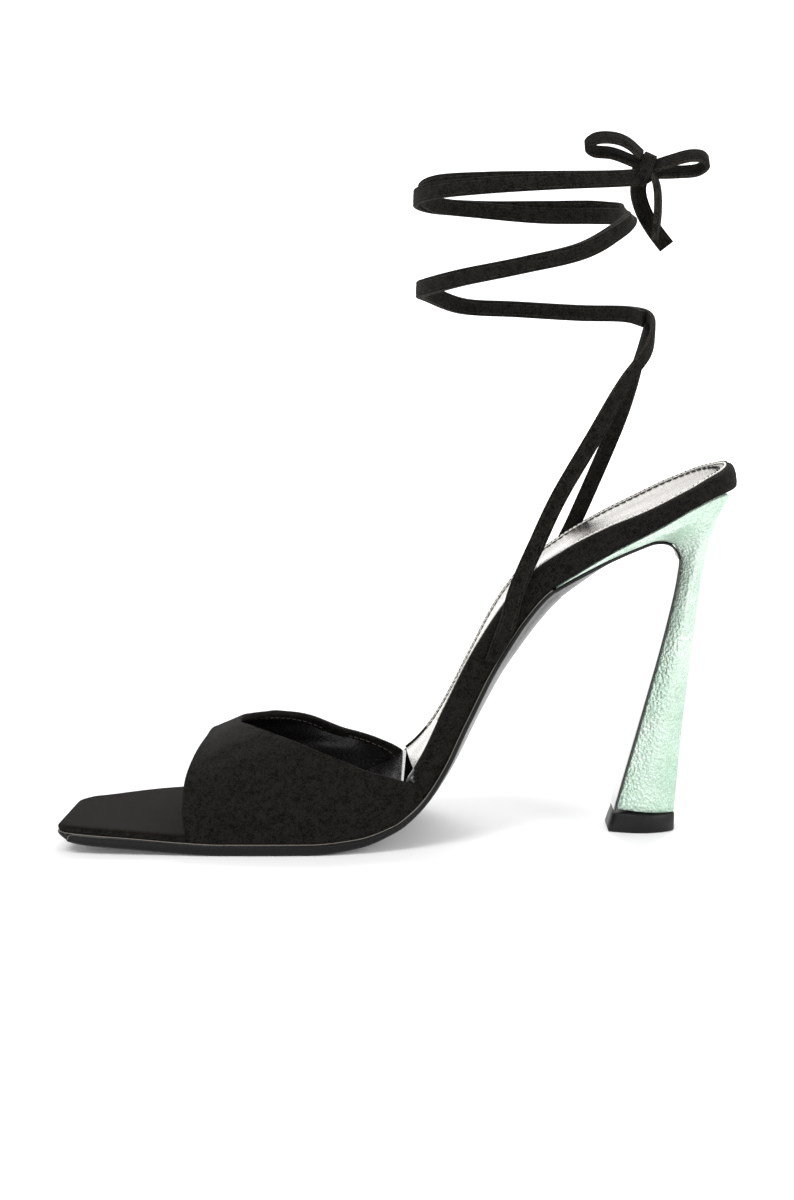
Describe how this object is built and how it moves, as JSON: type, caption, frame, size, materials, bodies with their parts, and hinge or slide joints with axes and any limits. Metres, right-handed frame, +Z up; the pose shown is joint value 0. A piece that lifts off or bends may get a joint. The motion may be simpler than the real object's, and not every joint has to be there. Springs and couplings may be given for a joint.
{
  "type": "wrap sandal",
  "caption": "High-heeled open-toe wrap sandal: wide band over the toes, flat ankle straps wound and tied in a bow, flared leather-covered heel.",
  "frame": {"origin": "centre of the bounding box on the floor: the forefoot tread and the heel tip stand on Z = 0", "axes": "+Z up; -X is the toe and +X the heel; -Y is the inner (medial) side of a right foot"},
  "size_m": [0.2184, 0.0794, 0.227],
  "materials": {
    "sole_leather": "glossy",
    "black_suede": "suede",
    "silver_leather": "metallic",
    "mint_leather": "metallic",
    "heel_rubber": "matte"
  },
  "bodies": {
    "root": {"outsole": "sole_leather", "footbed": "black_suede", "insole_sock": "silver_leather", "vamp": "black_suede", "ankle_straps": "black_suede", "bow": "black_suede", "heel": "mint_leather", "top_piece": "heel_rubber"}
  },
  "joints": []
}
